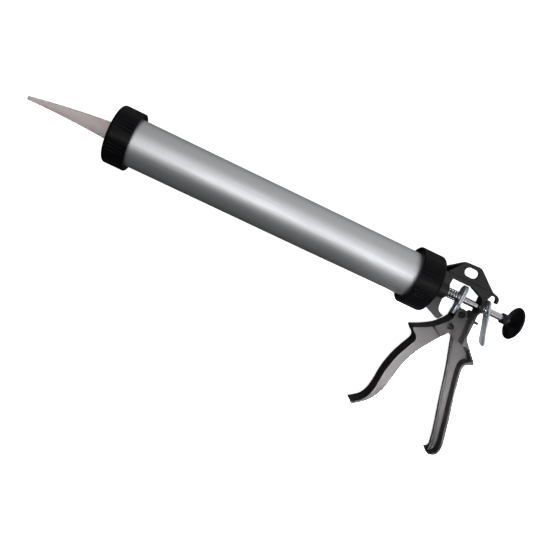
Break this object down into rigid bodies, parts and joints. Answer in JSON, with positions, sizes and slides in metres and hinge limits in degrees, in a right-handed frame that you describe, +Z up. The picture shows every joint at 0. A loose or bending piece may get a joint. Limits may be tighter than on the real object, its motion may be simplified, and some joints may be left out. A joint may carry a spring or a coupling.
{
  "type": "caulking gun",
  "caption": "Lying caulking gun for foil packs: aluminium barrel with ribbed screw caps, tapered nozzle, black cast frame and trigger, push rod with knob and release lever.",
  "frame": {"origin": "centre of the bounding box on the surface the gun lies on", "axes": "+Z up from the surface; the gun lies on its right side with its left side up. +X runs along the barrel from the nozzle to the rod knob, +Y from the handle's foot to the hang tab. The gun's own mid-plane leans 7.0 degrees about X, because the rear cap and the handle's foot touch the surface."},
  "size_m": [0.6126, 0.23, 0.07],
  "materials": {
    "anodised_aluminium": "satin anodised, brushed along its length",
    "black_plastic": "satin moulded",
    "nozzle_plastic": "milky translucent moulded",
    "black_paint": "semi-gloss black on die-cast aluminium",
    "blackened_steel": "black oxide",
    "zinc_steel": "bluish zinc plate",
    "spring_steel": "bright spring wire",
    "chrome_steel": "bright drawn bar, plated",
    "gloss_plastic": "glossy moulded",
    "white_plastic": "natural nylon"
  },
  "bodies": {
    "frame": {"frame": "black_paint", "spigot_washer": "zinc_steel", "spigot_nut": "zinc_steel", "trigger_pivot_pin": "zinc_steel", "pivot_retainer_left": "blackened_steel", "pivot_retainer_right": "blackened_steel", "drive_spring": "spring_steel", "release_spring": "spring_steel"},
    "barrel": {"barrel_tube": "anodised_aluminium", "rear_cap": "black_plastic"},
    "nozzle": {"nozzle": "nozzle_plastic"},
    "front_cap": {"front_cap": "black_plastic"},
    "trigger": {"trigger": "black_paint", "pusher_pin": "zinc_steel", "pusher_roller": "zinc_steel", "pusher_retainer_left": "blackened_steel", "pusher_retainer_right": "blackened_steel"},
    "drive": {"drive_plate_rear": "zinc_steel", "drive_plate_front": "zinc_steel"},
    "release": {"release_lever": "zinc_steel"},
    "rod": {"rod": "chrome_steel", "rod_knob": "gloss_plastic", "piston_backplate": "zinc_steel", "piston": "white_plastic", "piston_washer": "zinc_steel", "piston_nut": "zinc_steel"}
  },
  "joints": [
    {"name": "barrel_swivel", "type": "hinge", "parent": "frame", "child": "barrel", "pos_m": [0.15915, 0.07304, 0.03519], "axis": [1, 0, 0], "continuous": true},
    {"name": "front_cap_travel", "type": "slide", "parent": "barrel", "child": "nozzle", "axis": [-1, 0, 0], "range_m": [0, 0.024]},
    {"name": "front_cap_turn", "type": "hinge", "parent": "nozzle", "child": "front_cap", "pos_m": [-0.20975, 0.07304, 0.03519], "axis": [-1, 0, 0], "range_deg": [0, 2880]},
    {"name": "trigger_pivot", "type": "hinge", "parent": "frame", "child": "trigger", "pos_m": [0.22965, 0.0389, 0.03099], "axis": [0, -0.1223, 0.9925], "range_deg": [0, 30], "stiffness_Nm_per_rad": 0.5, "springref_deg": -22.92},
    {"name": "drive_slide", "type": "slide", "parent": "frame", "child": "drive", "axis": [-1, 0, 0], "range_m": [0, 0.0098], "deforming": ["drive_spring"]},
    {"name": "release_press", "type": "hinge", "parent": "frame", "child": "release", "pos_m": [0.26035, 0.08376, 0.03652], "axis": [0, 0.1223, -0.9925], "range_deg": [0, 11], "stiffness_Nm_per_rad": 0.2, "springref_deg": -17.19, "deforming": ["release_spring"]},
    {"name": "rod_slide", "type": "slide", "parent": "frame", "child": "rod", "axis": [1, 0, 0], "range_m": [0, 0.325]}
  ],
  "couplings": [
    {"joint": "front_cap_travel", "follows": "front_cap_turn", "m_per_rad": 0.0004775},
    {"joint": "drive_slide", "follows": "trigger_pivot", "m_per_rad": 0.01847}
  ]
}
